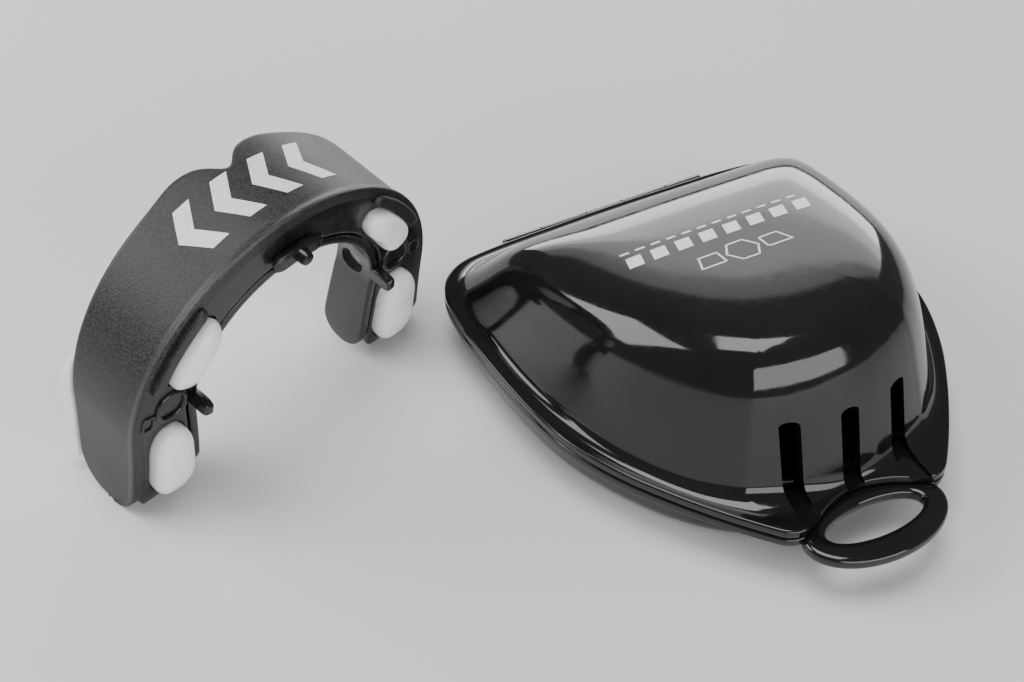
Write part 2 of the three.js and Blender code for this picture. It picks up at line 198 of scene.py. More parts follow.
def boolean(obj, others, operation):
    """Joins the other objects to obj or cuts them from it, and removes them."""
    for other in others:
        modifier = obj.modifiers.new("boolean", "BOOLEAN")
        modifier.operation = operation
        modifier.solver = "EXACT"
        modifier.object = other
    bake(obj)
    for other in others:
        bpy.data.objects.remove(other)
    return obj


def finish_piece(obj, material, body, nodes=(), sharp=38):
    """Smooth shading with sharp edges kept, a material, and the CAD body that it rides on."""
    mesh = obj.data
    mesh.materials.clear()
    mesh.materials.append(material)
    mesh.polygons.foreach_set("use_smooth", [True] * len(mesh.polygons))
    mesh.set_sharp_from_angle(angle=math.radians(sharp))
    weighted = obj.modifiers.new("weighted_normals", "WEIGHTED_NORMAL")
    weighted.keep_sharp = True
    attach(obj, body)
    if nodes:
        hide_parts(*nodes)
    return obj


# ---- Plan curves and rings of the case ----

def plan_curve(half):
    """AROUND points on a smooth closed curve through a half outline and its mirror image."""
    mirrored = [(-x, y) for x, y in reversed(half[1:-1])]
    points = [Vector(p) for p in [*half, *mirrored]]
    count = len(points)

    def at(u):
        place = (u % 1.0) * count
        i = int(place)
        s = place - i
        before, here, there, after = (points[(i + k) % count] for k in (-1, 0, 1, 2))
        leave, arrive = (there - before) / 2, (after - here) / 2
        return (
            here * (2 * s**3 - 3 * s**2 + 1)
            + leave * (s**3 - 2 * s**2 + s)
            + there * (3 * s**2 - 2 * s**3)
            + arrive * (s**3 - s**2)
        )

    return [at(i / AROUND) for i in range(AROUND)]


RIM = plan_curve(RIM_HALF)
DOME = plan_curve(DOME_HALF)
TRAY = plan_curve(TRAY_HALF)


def ring(curve, inset, height):
    """A level ring: a plan curve drawn in by an inset at its mean radius."""
    scale = 1 - inset / MEAN_RADIUS
    return [(*(CENTRE + (p - CENTRE) * scale), height) for p in curve]


def dome_ring(foot, inset, rise):
    """A ring of the dome at a share of its height. Over the shoulder it draws in, to nothing at 1."""
    reach = (1 - min(rise, 1.0) ** ROOF_POWER) ** (1 / ROOF_POWER) * (1 - inset / MEAN_RADIUS)
    rear = DOME_HALF[-1][1] - CENTRE.y
    points = []
    for p in DOME:
        rearward = max(0.0, (p.y - CENTRE.y) / rear)
        x = CENTRE.x + (p.x - CENTRE.x) * reach * (1 - WALL_DRAFT * rise)
        y = CENTRE.y + (p.y - CENTRE.y) * reach * (1 - (WALL_DRAFT + REAR_LEAN * rearward**2) * rise)
        roof = ROOF_HEIGHT - inset + ROOF_SLOPE * (y - ROOF_REF_Y) - ROOF_CROWN * reach**2
        points.append((x, y, foot + rise * (roof - foot)))
    return points


def dome_rings(foot, inset, lowest, shoulder_steps=46, wall_steps=22):
    """Rings from the apex over the shoulder and down the wall."""
    angles = [math.pi / 2 * i / shoulder_steps for i in range(1, shoulder_steps)]
    rises = [math.cos(angle) ** (2 / ROOF_POWER) for angle in angles]
    shoulder = [rise for rise in rises if rise > SHOULDER_FOOT]
    wall = [SHOULDER_FOOT + (lowest - SHOULDER_FOOT) * i / wall_steps for i in range(wall_steps + 1)]
    return [dome_ring(foot, inset, rise) for rise in [APEX, *shoulder, *wall]]


def fillet_rings(wall_ring, steps=14):
    """The concave fillet from the dome's wall out onto the flange."""
    rings = []
    for k in range(1, steps + 1):
        s = k / steps
        points = []
        for wall, dome, rim in zip(wall_ring, DOME, RIM):
            corner = Vector((*dome, RIM_TOP))
            end = Vector((*dome.lerp(rim, FILLET_REACH), RIM_TOP))
            points.append(Vector(wall) * (1 - s) ** 2 + corner * 2 * s * (1 - s) + end * s**2)
        rings.append(points)
    return rings


def flange_edge(high, low, round_high=0.4, round_low=0.3, steps=5):
    """The rounded outer edge of a flange, from its top to its underside."""
    angles = [math.pi / 2 * k / steps for k in range(steps + 1)]
    top = [ring(RIM, round_high * (1 - math.sin(a)), high - round_high * (1 - math.cos(a))) for a in angles]
    foot = [ring(RIM, round_low * (1 - math.cos(a)), low + round_low * (1 - math.sin(a))) for a in angles]
    return top + foot


# ---- Pieces of the case ----

def slot_cutter(x):
    """A tall round-topped bar along Y that opens a vent and its run-out in the flange."""
    half = SLOT_WIDTH / 2
    outline = [(x - half, RIM_TOP - SLOT_SINK), (x + half, RIM_TOP - SLOT_SINK)]
    arc = [math.pi * k / 20 for k in range(21)]
    outline += [(x + half * math.cos(a), SLOT_TOP - half + SLOT_ARCH * half * math.sin(a)) for a in arc]
    rings = [[(px, y, pz) for px, pz in outline] for y in SLOT_REACH]
    return add_object("slot_cutter", mesh_from_rings("slot_cutter", rings))


def lid_shell():
    """The dome, its fillet, the flange and the hollow inside, with three vents cut through."""
    outside = dome_rings(RIM_TOP, 0, lowest=0.1)
    ease = 0.3
    rings = [
        *outside,
        *fillet_rings(outside[-1]),
        *flange_edge(RIM_TOP, LID_FOOT),
        ring(DOME, WALL - ease, LID_FOOT),
        ring(DOME, WALL, LID_FOOT + ease),
        *reversed(dome_rings(RIM_TOP, WALL, lowest=0.06, shoulder_steps=30, wall_steps=10)),
    ]
    lid = add_object("lid_shell", mesh_from_rings("lid_shell", rings))
    return boolean(lid, [slot_cutter(x) for x in (-SLOT_PITCH, 0, SLOT_PITCH)], "DIFFERENCE")


def smooth_steps(points, steps):
    """Extra points on a smooth open curve through points."""
    ends = [points[0], *points, points[-1]]
    out = []
    for a, b, c, d in zip(ends, ends[1:], ends[2:], ends[3:]):
        a, b, c, d = (Vector(p) for p in (a, b, c, d))
        for k in range(steps):
            s = k / steps
            leave, arrive = (c - a) / 2, (d - b) / 2
            out.append(
                b * (2 * s**3 - 3 * s**2 + 1)
                + leave * (s**3 - 2 * s**2 + s)
                + c * (3 * s**2 - 2 * s**3)
                + arrive * (s**3 - s**2)
            )
    return [*out, Vector(points[-1])]


def base_shell():
    """The tray: its wall, the flange, the locating lip and the rounded inside."""
    wall = [(0.86, 0), (0.9, 0.35), (0.945, 1.5), (0.975, 3.2), (0.99, 5.2), (1, BASE_RIM_FOOT)]
    inside = [(0.905, BASE_TOP), (0.91, 5.2), (0.89, 3.4), (0.84, 2.2), (0.7, WALL)]
    lip = WALL + GAP + 0.6
    lip_top = BASE_TOP + LIP_RISE
    edge = list(reversed(flange_edge(BASE_TOP, BASE_RIM_FOOT)))
    rings = [
        ring(TRAY, MEAN_RADIUS * 0.999, 0),
        ring(TRAY, MEAN_RADIUS * 0.16, 0),
        *(ring(TRAY, MEAN_RADIUS * (1 - scale), height) for scale, height in smooth_steps(wall, 5)),
        *edge,
        ring(DOME, lip - 0.15, BASE_TOP),
        ring(DOME, lip, BASE_TOP + 0.15),
        ring(DOME, lip, lip_top - 0.35),
        ring(DOME, lip + 0.12, lip_top - 0.1),
        ring(DOME, lip + 0.35, lip_top),
        ring(DOME, lip + 0.85, lip_top),
        ring(DOME, lip + 1.1, lip_top - 0.15),
        *(ring(DOME, MEAN_RADIUS * (1 - scale), height) for scale, height in smooth_steps(inside, 5)),
        ring(DOME, MEAN_RADIUS * 0.999, WALL),
    ]
    return add_object("base_shell", mesh_from_rings("base_shell", rings))


def boxed(value, power):
    """A cosine or sine, raised so that its circle becomes a rounded box."""
    return math.copysign(abs(value) ** (2 / power), value)


def hang_loop(turns=144, sides=40):
    """An oval ring whose section is a rounded box."""
    middle, half = (LOOP_LOW + LOOP_HIGH) / 2, (LOOP_HIGH - LOOP_LOW) / 2
    rings = []
    for i in range(turns):
        around = 2 * math.pi * i / turns
        points = []
        for k in range(sides):
            turn = 2 * math.pi * k / sides
            out, up = boxed(math.cos(turn), LOOP_POWER), boxed(math.sin(turn), LOOP_POWER)
            x = (LOOP_RX + LOOP_HALF_X * out) * math.cos(around)
            y = LOOP_Y + (LOOP_RY + LOOP_HALF_Y * out) * math.sin(around)
            points.append((x, y, middle + half * up))
        rings.append(points)
    return add_object("hang_loop", loop_mesh("hang_loop", rings))


def bar_along_x(radius, x0, x1, y, z, sides=48):
    circle = [2 * math.pi * k / sides for k in range(sides)]
    rings = [[(x, y + radius * math.cos(a), z + radius * math.sin(a)) for a in circle] for x in (x0, x1)]
    return add_object("bar", mesh_from_rings("bar", rings))


def block(corner, opposite):
    (x0, y0, z0), (x1, y1, z1) = corner, opposite
    rings = [[(x0, y0, z), (x1, y0, z), (x1, y1, z), (x0, y1, z)] for z in (z0, z1)]
    return add_object("block", mesh_from_rings("block", rings))


def hinge_room(shell, spans):
    """Cuts room for the other shell's knuckles out of a shell."""
    room = [bar_along_x(KNUCKLE_RADIUS + GAP, x0 - GAP, x1 + GAP, AXIS_Y, AXIS_Z) for x0, x1 in spans]
    return boolean(shell, room, "DIFFERENCE")


def knuckles(name, spans, low, high):
    """Hinge knuckles, each with the strap that carries it, bored for the pin and with eased edges."""
    straps = [block((x0, AXIS_Y - STRAP_REACH, low), (x1, AXIS_Y, high)) for x0, x1 in spans]
    barrels = [bar_along_x(KNUCKLE_RADIUS, x0, x1, AXIS_Y, AXIS_Z) for x0, x1 in spans]
    whole, *others = [*barrels, *straps]
    boolean(whole, others, "UNION")
    boolean(whole, [bar_along_x(BORE_RADIUS, -25, 25, AXIS_Y, AXIS_Z)], "DIFFERENCE")
    bevel = whole.modifiers.new("bevel", "BEVEL")
    bevel.width = 0.18 * MM
    bevel.segments = 3
    bevel.angle_limit = math.radians(50)
    whole.name = name
    return bake(whole)


# ---- Shapes of the mouthguard ----

def guard_place(p):
    """A point of the mouthguard's own frame in the row frame."""
    return GUARD_PLACE + SIDEWAYS * p.x + FRONTWARD * p.y + GUMWARD * p.z


def arch_point(t):
    """A point of the arch's outer curve and the direction into the arch, for t from -1 to 1."""
    side = -1.0 if t < 0 else 1.0
    share = abs(t)
    if share <= CURVE_SHARE:
        angle = share / CURVE_SHARE * math.pi / 2
        at = Vector((ARCH_HALF_WIDTH * math.sin(angle), ARCH_ROUND * (math.cos(angle) - 1)))
        into = Vector((-math.sin(angle) / ARCH_HALF_WIDTH, -math.cos(angle) / ARCH_ROUND)).normalized()
        return Vector((side * at.x, at.y)), Vector((side * into.x, into.y))
    along = (share - CURVE_SHARE) / (1 - CURVE_SHARE)
    x = ARCH_HALF_WIDTH + ARM_FLARE * along**2
    return Vector((side * x, -ARCH_ROUND - ARM_STRAIGHT * along)), Vector((-side, 0.0))


def mix(pair, t):
    """A value that changes from the front of the arch to its tips."""
    front, tip = pair
    return front + (tip - front) * abs(t) ** 1.5


def rounded(corners, radii, steps=5):
    """A closed outline whose corners are rounded off."""
    points = []
    for i, (corner, radius) in enumerate(zip(corners, radii)):
        here, before = Vector(corner), Vector(corners[i - 1])
        after = Vector(corners[(i + 1) % len(corners)])
        start = here + (before - here).normalized() * radius
        end = here + (after - here).normalized() * radius
        for k in range(steps + 1):
            s = k / steps
            points.append(start * (1 - s) ** 2 + here * 2 * s * (1 - s) + end * s**2)
    return points


def stations(t0, t1, end_share, steps, cap_steps=10):
    """Places along a bar, close together at its round ends, as (t, how full the section is)."""
    cap = [math.radians(90 * k / cap_steps) for k in range(cap_steps)]
    near = [(end_share * (1 - math.cos(a)), max(math.sin(a), 1e-3)) for a in cap]
    middle = [(end_share + (1 - 2 * end_share) * i / steps, 1.0) for i in range(steps + 1)]
    far = [(1 - v, full) for v, full in reversed(near)]
    return [(t0 + (t1 - t0) * v, full) for v, full in [*near, *middle, *far]]


def sweep(name, places, section):
    """A bar along the arch: section(t, full) gives its outline as (inset, z) points."""
    rings = []
    for t, full in places:
        at, into = arch_point(t)
        rings.append([(*(at + into * inset), z) for inset, z in section(t, full)])
    return add_object(name, mesh_from_rings(name, rings, guard_place))


def plain_bar(name, t0, t1, side, level, radius, end_share, steps=120, blunt=0.6):
    """A bar with a rounded rectangular section and rounded ends."""

    def section(t, full):
        outer, inner = side(t)
        low, high = level(t)
        half_wide = (inner - outer) / 2 * (blunt + (1 - blunt) * full)
        half_tall = (high - low) / 2 * full
        x, z = (outer + inner) / 2, (low + high) / 2
        corner = min(radius, half_wide * 0.98, half_tall * 0.98)
        box = [(x - half_wide, z - half_tall), (x + half_wide, z - half_tall)]
        box += [(x + half_wide, z + half_tall), (x - half_wide, z + half_tall)]
        return rounded(box, [corner] * 4)

    return sweep(name, stations(t0, t1, end_share, steps), section)


def pad_body(name, span, extra=0.0):
    """A bite pad: a plump pillow along the arch. With extra clearance it is the window that it sits in."""
    t0, t1 = span
    stretch = WINDOW_STRETCH * extra

    def section(t, full):
        outer = BAND_THICK + PAD_MARGIN - extra
        inner = mix(SHELF_INNER, t) - PAD_MARGIN + extra
        high = mix(SOLE, t) + SOLE_THICK - 0.1 + extra
        low = high - PAD_DEPTH - 2 * extra
        x, z = (outer + inner) / 2, (low + high) / 2
        half_wide, half_tall = (inner - outer) / 2, (high - low) / 2
        points = []
        for k in range(48):
            turn = 2 * math.pi * k / 48
            across, up = boxed(math.cos(turn), PAD_POWER), boxed(math.sin(turn), PAD_POWER)
            points.append((x + half_wide * across * full, z + half_tall * up * full))
        return points

    places = stations(t0 - stretch, t1 + stretch, end_share=0.34, steps=24, cap_steps=18)
    return sweep(name, places, section)


def both_sides(spans):
    """Spans on the right arm, each followed by its mirror image on the left one."""
    return [s for t0, t1 in spans for s in ((t0, t1), (-t1, -t0))]


def notch_drop(x):
    """How far the band's top edge dips over the lip's frenum, between two low shoulders."""
    return 3.0 * math.exp(-((x / 2.7) ** 2)) - 0.7 * math.exp(-(((abs(x) - 8) / 4) ** 2))


def guard_band():
    """The outer band, with a slight bead round its lower edge and a dip in its top edge."""

    def section(t, full):
        at, _ = arch_point(t)
        low, high = mix(SOLE, t), mix(BAND_TOP, t) - notch_drop(at.x)
        middle = (low + high) / 2
        corners = [
            (0.0, high), (0.0, low + 1.5), (-0.35, low + 0.7), (-0.3, low),
            (BAND_THICK, low), (BAND_THICK, high),
        ]
        centre = BAND_THICK / 2
        thin = 0.6 + 0.4 * full
        squeezed = [(centre + (x - centre) * thin, middle + (z - middle) * full) for x, z in corners]
        radii = [min(r, full * 0.9 + 0.02) for r in (0.85, 0.5, 0.3, 0.25, 0.5, 0.85)]
        return rounded(squeezed, radii)

    return sweep("guard_band", stations(-1, 1, 0.05, 200), section)


def bite_shelf():
    """The bite plane, with a window for each gel pad."""
    shelf = plain_bar(
        "bite_shelf", -0.985, 0.985,
        side=lambda t: (1.0, mix(SHELF_INNER, t)),
        level=lambda t: (mix(SOLE, t), mix(SOLE, t) + SOLE_THICK),
        radius=0.6, end_share=0.05, steps=160,
    )
    windows = [pad_body("window", span, 0.15) for span in both_sides(PAD_SPANS)]
    return boolean(shelf, windows, "DIFFERENCE")


def inner_side(t):
    """The insets of the inner frame's two faces."""
    inner = mix(SHELF_INNER, t) + GAP
    return inner, inner + FRAME_THICK


def inner_frame():
    """The wall along the inside of the arch, with a tab and a window on each arm."""
    wall = plain_bar(
        "inner_frame", -0.97, 0.97,
        side=inner_side,
        level=lambda t: (mix(SOLE, t), mix(FRAME_TOP, t)),
        radius=0.5, end_share=0.04, steps=140,
    )
    tabs = [
        plain_bar(
            "tab", t0, t1,
            side=inner_side,
            level=lambda t: (mix(SOLE, t) - 4, mix(SOLE, t) + 1),
            radius=0.5, end_share=0.3, steps=10,
        )
        for t0, t1 in both_sides([TAB_SPAN])
    ]
    windows = [
        plain_bar(
            "window", t0, t1,
            side=lambda t: (inner_side(t)[0] - 2, inner_side(t)[1] + 2),
            level=lambda t: (mix(SOLE, t) + 2.2, mix(FRAME_TOP, t) - 1.4),
            radius=1.2, end_share=0.4, steps=10,
        )
        for t0, t1 in both_sides([FRAME_WINDOW_SPAN])
    ]
    boolean(wall, tabs, "UNION")
    return boolean(wall, windows, "DIFFERENCE")


def rear_share(t):
    """0 round the front of the arch, 1 along the arms, with a smooth change between them."""
    share = min(max((abs(t) - 0.45) / 0.3, 0.0), 1.0)
    return share * share * (3 - 2 * share)


def gel_liner():
    """The liner's channel. Along the arms its outer wall rises past the band and curls over its edge."""

    def section(t, full):
        outer, inner = BAND_THICK + GAP, mix(SHELF_INNER, t)
        floor = mix(SOLE, t) + SOLE_THICK + GAP
        frame_top = mix(FRAME_TOP, t) + 0.8
        top = mix(BAND_TOP, t) - 2.4 + 6.4 * rear_share(t)
        edge = min(mix(BAND_TOP, t) + 0.4, top - 1.6)
        curl = outer - LINER_CURL * rear_share(t)
        corners = [
            (outer, floor), (outer, edge), (curl, edge + 0.6), (curl, top), (outer + LINER_THICK, top),
            (outer + LINER_THICK, floor + LINER_THICK), (inner - LINER_THICK, floor + LINER_THICK),
            (inner - LINER_THICK, frame_top), (inner, frame_top), (inner, floor),
        ]
        return rounded(corners, [0.8, 0.2, 0.3, 0.55, 0.55, 1.4, 1.4, 0.55, 0.55, 0.8])

    places = [(-0.965 + 1.93 * i / 150, 1.0) for i in range(151)]
    return sweep("gel_liner", places, section)


def breathing_bridge():
    """A short bar under the front of the bite plane, with a round nub."""
    top = SOLE[0] - GAP
    bar = plain_bar(
        "breathing_bridge", -0.09, 0.09,
        side=lambda t: (4.6, 7.4),
        level=lambda t: (top - 1.6, top),
        radius=0.5, end_share=0.2, steps=16,
    )
    turns = [2 * math.pi * k / 32 for k in range(32)]
    heights = [(top + 0.1 - 1.2, 1.3), (top - 2.6, 1.2), (top - 3.1, 1.05), (top - 3.3, 0.7)]
    rings = [[(r * math.cos(a), -6 + r * math.sin(a), z) for a in turns] for z, r in heights]
    nub = add_object("nub", mesh_from_rings("nub", rings, guard_place))
    return boolean(bar, [nub], "UNION")


def bead(name, points, radius, sides=12):
    """A round bead along a closed line of the mouthguard's own frame that lies level in z."""
    turns = [2 * math.pi * k / sides for k in range(sides)]
    rings = []
    for i, p in enumerate(points):
        along = (points[(i + 1) % len(points)] - points[i - 1]).normalized()
        across = Vector((along.y, -along.x, 0))
        rings.append([p + (across * math.cos(a) + Vector((0, 0, 1)) * math.sin(a)) * radius for a in turns])
    return add_object(name, loop_mesh(name, rings, guard_place))


def shelf_rims():
    """The oval rim and the small rib frame that the bite plane carries between its pads, on both arms."""
    made = []
    for side in (1, -1):
        for name, t_mid, t_half, inset_mid, inset_half, power in (
            ("oval_rim", 0.612, 0.05, 6.4, 2.6, 2.4),
            ("rib_frame", 0.645, 0.022, 2.2, 1.0, 6.0),
        ):
            points = []
            for k in range(64):
                a = 2 * math.pi * k / 64
                t = side * (t_mid + t_half * boxed(math.cos(a), power))
                at, into = arch_point(t)
                flat = at + into * (inset_mid + inset_half * boxed(math.sin(a), power))
                points.append(Vector((*flat, mix(SOLE, t) - 0.05)))
            radius = 0.5 if name == "oval_rim" else 0.28
            made.append(bead(f"{name}_{'right' if side > 0 else 'left'}", points, radius))
    return made


def edge_strip(name, span):
    """The grained step between the band's lower edge and a front pad."""
    return plain_bar(
        name, *span,
        side=lambda t: (0.7, 2.7),
        level=lambda t: (mix(SOLE, t) - 1.1, mix(SOLE, t) + 0.6),
        radius=0.35, end_share=0.12, steps=40, blunt=0.4,
    )


# ---- Printed marks ----

def surface_of(*objs):
    """A search tree over the meshes of objects, for laying marks on them."""
    verts, polygons = [], []
    for obj in objs:
        start = len(verts)
        verts += [obj.matrix_world @ v.co for v in obj.data.vertices]
        polygons += [[start + i for i in p.vertices] for p in obj.data.polygons]
    return BVHTree.FromPolygons(verts, polygons)


def marks(name, quads, ray, tree, rise=0.05, sink=0.12, step=0.45):
    """Thin ink on a surface: each flat quad becomes a patch laid on the tree along ray(a, b)."""
    bm = bmesh.new()
    for quad in quads:
        a, b, c, d = (Vector(p) for p in quad)
        columns = max(1, math.ceil(max((b - a).length, (c - d).length) / step))
        rows = max(1, math.ceil(max((d - a).length, (c - b).length) / step))
        grid = {}
        for i in range(columns + 1):
            for j in range(rows + 1):
                p = a.lerp(b, i / columns).lerp(d.lerp(c, i / columns), j / rows)
                origin, direction = ray(p.x, p.y)
                hit, _, _, _ = tree.ray_cast(origin * MM, direction)
                grid[i, j, 1] = bm.verts.new(hit - direction * rise * MM)
                grid[i, j, 0] = bm.verts.new(hit + direction * sink * MM)
        for i in range(columns):
            for j in range(rows):
                corners = ((i, j), (i + 1, j), (i + 1, j + 1), (i, j + 1))
                for layer in (0, 1):
                    bm.faces.new([grid[p, q, layer] for p, q in corners])
        rim = [(i, 0) for i in range(columns)] + [(columns, j) for j in range(rows)]
        rim += [(i, rows) for i in range(columns, 0, -1)] + [(0, j) for j in range(rows, 0, -1)]
        for (i, j), (p, q) in zip(rim, rim[1:] + rim[:1]):
            bm.faces.new((grid[i, j, 0], grid[p, q, 0], grid[p, q, 1], grid[i, j, 1]))
    return add_object(name, mesh_of(name, bm))


def stroke(a, b, width):
    """A straight stroke as a quad, a little longer than its two ends so that strokes meet."""
    a, b = Vector(a), Vector(b)
    along = (b - a).normalized() * width / 2
    across = Vector((-along.y, along.x))
    return [a - along - across, b + along - across, b + along + across, a - along + across]


def outline_strokes(points, width):
    return [stroke(a, b, width) for a, b in zip(points, points[1:] + points[:1])]


def lid_emblem(tree):
    """A plain emblem on the roof: an outlined hexagon between two outlined boxes, and two rows of bars."""
    line = 0.32
    turns = [math.radians(a) for a in range(0, 360, 60)]
    quads = outline_strokes([(2.9 * math.cos(a), 2.9 * math.sin(a)) for a in turns], line)
    for side in (-1, 1):
        box = [(side * 3.9, -1.5), (side * 8.3, -1.5), (side * 7.2, 1.5), (side * 3.9, 1.5)]
        quads += outline_strokes(box, line)
    bar_start, bar_pitch, bar_wide, bar_slant = -17.2, 4.45, 2.7, 0.8
    for i in range(8):
        x = bar_start + i * bar_pitch
        foot = [(x, 5.3), (x + bar_wide, 5.3)]
        quads.append([*foot, (x + bar_wide + bar_slant, 8.1), (x + bar_slant, 8.1)])
    dash_start, dash_pitch, dash_wide = -16.6, 2.85, 1.7
    for i in range(12):
        x = dash_start + i * dash_pitch
        quads.append([(x, 9.3), (x + dash_wide, 9.3), (x + dash_wide, 9.75), (x, 9.75)])
    above, down = 60, Vector((0, 0, -1))
    return marks("lid_emblem", quads, lambda x, y: (Vector((x, y, above)), down), tree)


def band_marks(tree):
    """Four bold arrowheads round the front of the band, each of two slanted bars."""
    start, pitch, wide, slant = -13.5, 7.3, 3.2, 2.9
    low, middle, high = 0.2, 4.7, 9.2
    outside = 45
    quads = []
    for i in range(4):
        s = start + i * pitch
        quads.append([(s, low), (s + wide, low), (s + wide + slant, middle), (s + slant, middle)])
        quads.append([(s + slant, middle), (s + wide + slant, middle), (s + wide, high), (s, high)])

    def ray(s, z):
        angle = s / ARCH_HALF_WIDTH
        outward = Vector((math.sin(angle), math.cos(angle), 0))
        centre = Vector((0, -ARCH_HALF_WIDTH, z))
        direction = guard_place(centre) - guard_place(centre + outward)
        return guard_place(centre + outward * outside), direction.normalized()

    return marks("band_marks", quads, ray, tree)


# ---- Materials ----

def new_material(name):
    """A new material, with its nodes, its links and its shader."""
    material = bpy.data.materials.new(name)
    material.use_nodes = True
    nodes = material.node_tree.nodes
    return material, nodes, material.node_tree.links, nodes["Principled BSDF"]


def noise(nodes, links, scale, detail=2.0, roughness=0.5, stretch=None):
    """Object-space noise, in features per metre. A small factor in stretch draws it out on that axis."""
    coords = nodes.new("ShaderNodeTexCoord")
    texture = nodes.new("ShaderNodeTexNoise")
    texture.inputs["Scale"].default_value = scale
    texture.inputs["Detail"].default_value = detail
    texture.inputs["Roughness"].default_value = roughness
    if stretch:
        mapping = nodes.new("ShaderNodeMapping")
        mapping.inputs["Scale"].default_value = stretch
        links.new(coords.outputs["Object"], mapping.inputs["Vector"])
        links.new(mapping.outputs["Vector"], texture.inputs["Vector"])
    else:
        links.new(coords.outputs["Object"], texture.inputs["Vector"])
    return texture


def spread(nodes, links, source, low, high, from_low=0.3, from_high=0.7):
    """A value mapped to a range, for a socket that takes a number."""
    mapped = nodes.new("ShaderNodeMapRange")
    mapped.inputs["From Min"].default_value = from_low
    mapped.inputs["From Max"].default_value = from_high
    mapped.inputs["To Min"].default_value = low
    mapped.inputs["To Max"].default_value = high
    links.new(source, mapped.inputs["Value"])
    return mapped.outputs["Result"]


def two_tones(nodes, links, source, dark, light, from_low=0.3, from_high=0.7):
    """A colour between two tones."""
    ramp = nodes.new("ShaderNodeValToRGB")
    ramp.color_ramp.elements[0].position = from_low
    ramp.color_ramp.elements[0].color = (*dark, 1)
    ramp.color_ramp.elements[1].position = from_high
    ramp.color_ramp.elements[1].color = (*light, 1)
    links.new(source, ramp.inputs["Fac"])
    return ramp.outputs["Color"]


def bump(nodes, links, shader, source, distance, strength=1.0, chained=None):
    """Bump on a shader, on top of an earlier bump if there is one."""
    node = nodes.new("ShaderNodeBump")
    node.inputs["Distance"].default_value = distance
    node.inputs["Strength"].default_value = strength
    links.new(source, node.inputs["Height"])
    if chained:
        links.new(chained.outputs["Normal"], node.inputs["Normal"])
    links.new(node.outputs["Normal"], shader.inputs["Normal"])
    return node


def polished_black():
    """Injection-moulded black plastic: deep gloss, faint orange peel and hairline polishing marks."""
    material, nodes, links, shader = new_material("polished_black")
    tone = noise(nodes, links, 60, 3)
    colour = two_tones(nodes, links, tone.outputs["Fac"], (0.005, 0.005, 0.006), (0.009, 0.009, 0.010))
    links.new(colour, shader.inputs["Base Color"])
    hairlines = noise(nodes, links, 900, 4, 0.7, (1, 1, 0.04))
    links.new(spread(nodes, links, hairlines.outputs["Fac"], 0.05, 0.13), shader.inputs["Roughness"])
    peel = noise(nodes, links, 220, 1)
    bump(nodes, links, shader, peel.outputs["Fac"], 0.00001, 0.5)
    shader.inputs["IOR"].default_value = 1.52
    return material


def grained_black():
    """Satin black rubber with a fine spark-eroded grain."""
    material, nodes, links, shader = new_material("grained_black")
    speckle = noise(nodes, links, 3300, 2, 0.6)
    dark, light = (0.003, 0.003, 0.004), (0.034, 0.034, 0.035)
    colour = two_tones(nodes, links, speckle.outputs["Fac"], dark, light, 0.42, 0.66)
    links.new(colour, shader.inputs["Base Color"])
    links.new(spread(nodes, links, speckle.outputs["Fac"], 0.36, 0.56), shader.inputs["Roughness"])
    broad = noise(nodes, links, 120, 2)
    first = bump(nodes, links, shader, broad.outputs["Fac"], 0.00004, 0.4)
    bump(nodes, links, shader, speckle.outputs["Fac"], 0.00006, 0.8, first)
    return material


def satin_black():
    """The smoother black of the bite plane, inner frame and bridge."""
    material, nodes, links, shader = new_material("satin_black")
    tone = noise(nodes, links, 300, 3)
    colour = two_tones(nodes, links, tone.outputs["Fac"], (0.006, 0.006, 0.007), (0.012, 0.012, 0.013))
    links.new(colour, shader.inputs["Base Color"])
    links.new(spread(nodes, links, tone.outputs["Fac"], 0.2, 0.32), shader.inputs["Roughness"])
    fine = noise(nodes, links, 2500, 2)
    bump(nodes, links, shader, fine.outputs["Fac"], 0.00002, 0.4)
    return material


def milky_gel():
    """White gel: light bleeds a little way in, with a soft skin of gloss."""
    material, nodes, links, shader = new_material("milky_gel")
    tone = noise(nodes, links, 150, 2)
    colour = two_tones(nodes, links, tone.outputs["Fac"], (0.84, 0.84, 0.83), (0.91, 0.91, 0.9))
    links.new(colour, shader.inputs["Base Color"])
    links.new(spread(nodes, links, tone.outputs["Fac"], 0.24, 0.36), shader.inputs["Roughness"])
    skin_noise = noise(nodes, links, 700, 2)
    bump(nodes, links, shader, skin_noise.outputs["Fac"], 0.00003, 0.3)
    shader.inputs["Subsurface Weight"].default_value = 0.5
    shader.inputs["Subsurface Radius"].default_value = (1.0, 0.95, 0.9)
    shader.inputs["Subsurface Scale"].default_value = 0.0015
    shader.inputs["Coat Weight"].default_value = 0.25
    shader.inputs["Coat Roughness"].default_value = 0.2
    return material


def pale_ink(name, dark, light):
    """Pad-printed ink, a little uneven where it thins."""
    material, nodes, links, shader = new_material(name)
    tone = noise(nodes, links, 1500, 3, 0.6)
    links.new(two_tones(nodes, links, tone.outputs["Fac"], dark, light), shader.inputs["Base Color"])
    links.new(spread(nodes, links, tone.outputs["Fac"], 0.35, 0.5), shader.inputs["Roughness"])
    return material


def drawn_steel():
    """Steel wire with drawing marks along its length."""
    material, nodes, links, shader = new_material("drawn_steel")
    lines = noise(nodes, links, 4000, 3, 0.6, (0.02, 1, 1))
    colour = two_tones(nodes, links, lines.outputs["Fac"], (0.3, 0.3, 0.32), (0.5, 0.5, 0.52))
    links.new(colour, shader.inputs["Base Color"])
    links.new(spread(nodes, links, lines.outputs["Fac"], 0.25, 0.4), shader.inputs["Roughness"])
    shader.inputs["Metallic"].default_value = 1.0
    return material


